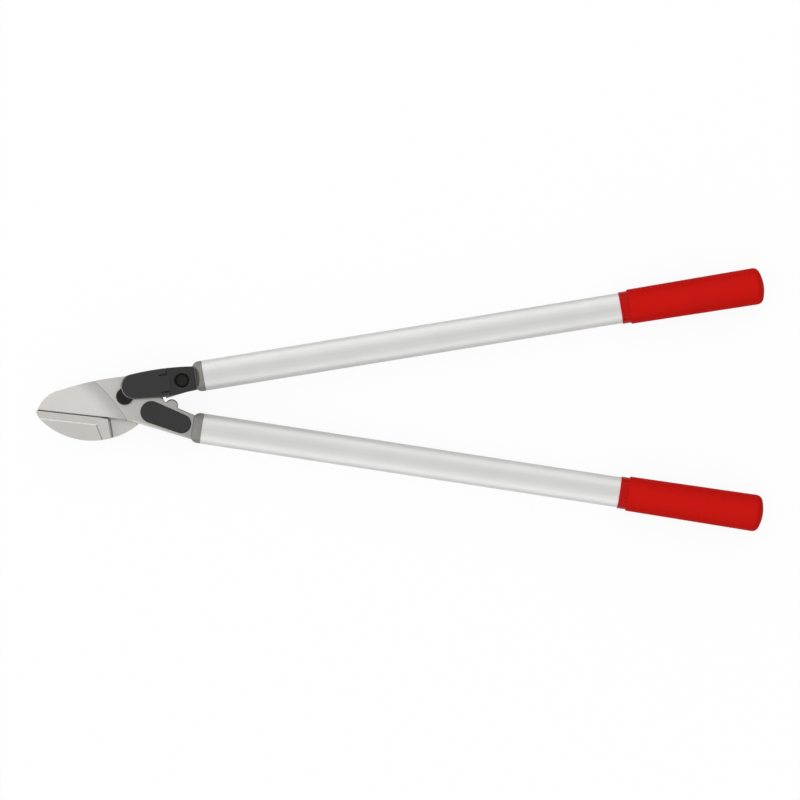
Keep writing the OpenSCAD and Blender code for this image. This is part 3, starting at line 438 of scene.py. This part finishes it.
# The angle of each handle and the offset of its axis from the pivot
HANDLES = {"anvil_lever": (UPPER_ANGLE, 0.0092), "blade_lever": (LOWER_ANGLE, -0.0232)}
ROUND = swept_round()
TUBE_BORE, TUBE_R, TUBE_START, TUBE_END, TUBE_EDGE = 15.5, 17.5, 93.3, 741.3, 0.6
tube_profile = [(TUBE_BORE, TUBE_START)] + rounded_front(TUBE_R, TUBE_START, TUBE_EDGE)
tube_profile += [(TUBE_R, TUBE_END), (TUBE_BORE, TUBE_END)]
on_handle("upper_handle_tube", "upper_tube", "anvil_lever",
          anodised("upper_tube_anodised", UPPER_ANGLE), tube_profile, True)
on_handle("lower_handle_tube", "lower_tube", "blade_lever",
          anodised("lower_tube_anodised", LOWER_ANGLE), tube_profile, True)

# Sleeves: hard red polypropylene tubes under the grips, pushed over the handles from behind.
# Only their front ends show, as glossy rings with a broken rim.
gloss_red, tree, shader = finish_of("glossy_red_polypropylene", 0.0, 0.25)
shader.inputs["Specular IOR Level"].default_value = 0.1
place = add(tree, "ShaderNodeTexCoord")
swirl = add(tree, "ShaderNodeTexNoise", [("Vector", place.outputs["Object"]), ("Scale", 120.0), ("Detail", 3.0)])
tone = add(tree, "ShaderNodeMix", [
    (0, swirl.outputs["Fac"]), (6, linear("#bb0400")), (7, linear("#c20601"))], data_type="RGBA")
tree.links.new(tone.outputs[2], shader.inputs["Base Color"])
SLEEVE_BORE, SLEEVE_R, SLEEVE_START, SLEEVE_EDGE = 17.55, 18.5, 580.5, 0.45
sleeve_profile = [(SLEEVE_BORE, SLEEVE_START)] + rounded_front(SLEEVE_R, SLEEVE_START, SLEEVE_EDGE)
sleeve_profile += [(SLEEVE_R, TUBE_END), (SLEEVE_BORE, TUBE_END)]
on_handle("upper_sleeve", "upper_grip_sleeve", "anvil_lever", gloss_red, sleeve_profile, True)
on_handle("lower_sleeve", "lower_grip_sleeve", "blade_lever", gloss_red, sleeve_profile, True)

# Grips: soft red vinyl, dip-moulded over the sleeve, a little thicker at the closed, domed end.
# Dipping leaves an even matt skin and a rounded front lip.
soft_red, tree, shader = finish_of("dip_moulded_red_vinyl", 0.0, 0.6)
shader.inputs["Specular IOR Level"].default_value = 0.1
place = add(tree, "ShaderNodeTexCoord")
# The skin has a grain of about 0.6 mm.
skin = add(tree, "ShaderNodeTexNoise", [("Vector", place.outputs["Object"]), ("Scale", 1700.0), ("Detail", 3.0)])
swirl = add(tree, "ShaderNodeTexNoise", [("Vector", place.outputs["Object"]), ("Scale", 40.0), ("Detail", 3.0)])
tone = add(tree, "ShaderNodeMix", [
    (0, swirl.outputs["Fac"]), (6, linear("#cb0a02")), (7, linear("#d30e04"))], data_type="RGBA")
rough = add(tree, "ShaderNodeMapRange", [
    ("Value", skin.outputs["Fac"]), ("From Min", 0.3), ("From Max", 0.7), ("To Min", 0.55), ("To Max", 0.66)])
relief = add(tree, "ShaderNodeBump", [
    ("Height", skin.outputs["Fac"]), ("Strength", 0.1), ("Distance", 0.0003)])
tree.links.new(tone.outputs[2], shader.inputs["Base Color"])
tree.links.new(rough.outputs[0], shader.inputs["Roughness"])
tree.links.new(relief.outputs[0], shader.inputs["Normal"])
GRIP_BORE, GRIP_FRONT_R, GRIP_END_R, GRIP_START, GRIP_END = 18.55, 20.0, 21.24, 590.5, 748.29
LIP, CORNER, DOME, SEAT = 0.6, 8.0, 45.0, 0.05
CORNER_STEPS, DOME_STEPS = 16, 10
corner_r = GRIP_END_R - CORNER
corner_s = GRIP_END - DOME + math.sqrt((DOME - CORNER) ** 2 - corner_r ** 2)
corner_turn = math.atan2(corner_s - GRIP_END + DOME, corner_r)
grip_profile = [(0, TUBE_END + SEAT), (GRIP_BORE, TUBE_END + SEAT), (GRIP_BORE, GRIP_START)]
grip_profile += rounded_front(GRIP_FRONT_R, GRIP_START, LIP)
grip_profile += [(corner_r + CORNER * math.cos(a), corner_s + CORNER * math.sin(a))
                 for a in (corner_turn * i / CORNER_STEPS for i in range(CORNER_STEPS + 1))]
grip_profile += [(DOME * math.cos(a), GRIP_END - DOME + DOME * math.sin(a))
                 for a in (corner_turn + (math.pi / 2 - corner_turn) * i / DOME_STEPS
                           for i in range(1, DOME_STEPS))]
grip_profile += [(0, GRIP_END)]
on_handle("upper_grip_skin", "upper_grip", "anvil_lever", soft_red, grip_profile, False)
on_handle("lower_grip_skin", "lower_grip", "blade_lever", soft_red, grip_profile, False)

# Anvil carrier: a forged steel plate behind the blade, bead-blasted, with the jaw, the hub and a tail.
# It is bolted to the upper lever head by its tail. The stepped anvil block on its jaw has the same finish.
blasted_steel, tree, shader = finish_of("bead_blasted_steel", 1.0, 0.45)
place = add(tree, "ShaderNodeTexCoord")
# Beads leave dents of about 0.3 mm.
dents = add(tree, "ShaderNodeTexNoise", [
    ("Vector", place.outputs["Object"]), ("Scale", 3200.0), ("Detail", 2.0)])
clouds = add(tree, "ShaderNodeTexNoise", [("Vector", place.outputs["Object"]), ("Scale", 50.0), ("Detail", 4.0)])
tone = add(tree, "ShaderNodeMix", [
    (0, clouds.outputs["Fac"]), (6, linear("#c4c2bd")), (7, linear("#cdcbc7"))], data_type="RGBA")
rough = add(tree, "ShaderNodeMapRange", [
    ("Value", dents.outputs["Fac"]), ("From Min", 0.3), ("From Max", 0.7), ("To Min", 0.4), ("To Max", 0.5)])
relief = add(tree, "ShaderNodeBump", [
    ("Height", dents.outputs["Fac"]), ("Strength", 0.08), ("Distance", 0.0002)])
tree.links.new(tone.outputs[2], shader.inputs["Base Color"])
tree.links.new(rough.outputs[0], shader.inputs["Roughness"])
tree.links.new(relief.outputs[0], shader.inputs["Normal"])
eased("carrier", "anvil_carrier", "anvil_lever", blasted_steel, 0.0004)
eased("anvil_block", "anvil", "anvil_lever", blasted_steel, 0.0001)

# Front arm: a forged steel arm in front of the blade, which bridges the pivot and holds the bolt's far end.
# It is bolted to the upper lever head and powder-coated black, which leaves a dull, slightly wavy skin.
coated_black, tree, shader = finish_of("black_coated_steel", 0.0, 0.42)
place = add(tree, "ShaderNodeTexCoord")
# Powder coating has an orange-peel skin of about 0.8 mm.
peel = add(tree, "ShaderNodeTexNoise", [("Vector", place.outputs["Object"]), ("Scale", 1250.0), ("Detail", 2.0)])
tone = add(tree, "ShaderNodeMix", [
    (0, peel.outputs["Fac"]), (6, linear("#0f0e0d")), (7, linear("#151413"))], data_type="RGBA")
relief = add(tree, "ShaderNodeBump", [
    ("Height", peel.outputs["Fac"]), ("Strength", 0.1), ("Distance", 0.0003)])
tree.links.new(tone.outputs[2], shader.inputs["Base Color"])
tree.links.new(relief.outputs[0], shader.inputs["Normal"])
eased("bridge_arm", "front_arm", "anvil_lever", coated_black, 0.0004)

# Pivot nut and lever bolt: turned steel, oil-blacked, with teeth milled round the nut's rim.
# The blacking is thin and a little brown, and shines less than the coating of the arm.
oil_black, tree, shader = finish_of("oil_blacked_steel", 0.0, 0.4)
shader.inputs["Specular IOR Level"].default_value = 0.22
place = add(tree, "ShaderNodeTexCoord")
# The turned and blacked skin is mottled over about 1 mm.
mottle = add(tree, "ShaderNodeTexNoise", [("Vector", place.outputs["Object"]), ("Scale", 1000.0), ("Detail", 3.0)])
tone = add(tree, "ShaderNodeMix", [
    (0, mottle.outputs["Fac"]), (6, linear("#110f0b")), (7, linear("#181510"))], data_type="RGBA")
rough = add(tree, "ShaderNodeMapRange", [
    ("Value", mottle.outputs["Fac"]), ("From Min", 0.3), ("From Max", 0.7), ("To Min", 0.36), ("To Max", 0.48)])
tree.links.new(tone.outputs[2], shader.inputs["Base Color"])
tree.links.new(rough.outputs[0], shader.inputs["Roughness"])
eased("toothed_nut", "pivot_nut", "anvil_lever", oil_black, 0.0003)
eased("lever_bolt_edged", "lever_bolt", "anvil_lever", oil_black, 0.0003)

# Arm cover: a moulded cap of the same black nylon over the nut's lock, with a chamfered rim.
# It snaps over the arm and is held by the clip tab between its two slots.
cover = eased("snap_cover", "arm_cover", "anvil_lever", black_nylon, 0.0003)
# The chamfer's painted highlight is strongest on the faces that turn to the lower left, where the light comes from.
HIGHLIGHT_WAY = Vector((-0.9, -0.44))
CHAMFER_LOW, CHAMFER_HIGH = 0.5, 0.9
painted_rim_highlight = cover.data.attributes.new("painted_rim_highlight", "FLOAT", "FACE")
for face in cover.data.polygons:
    if CHAMFER_LOW < face.normal.z < CHAMFER_HIGH:
        painted_rim_highlight.data[face.index].value = max(0.0, face.normal.xy.normalized().dot(HIGHLIGHT_WAY)) ** 2
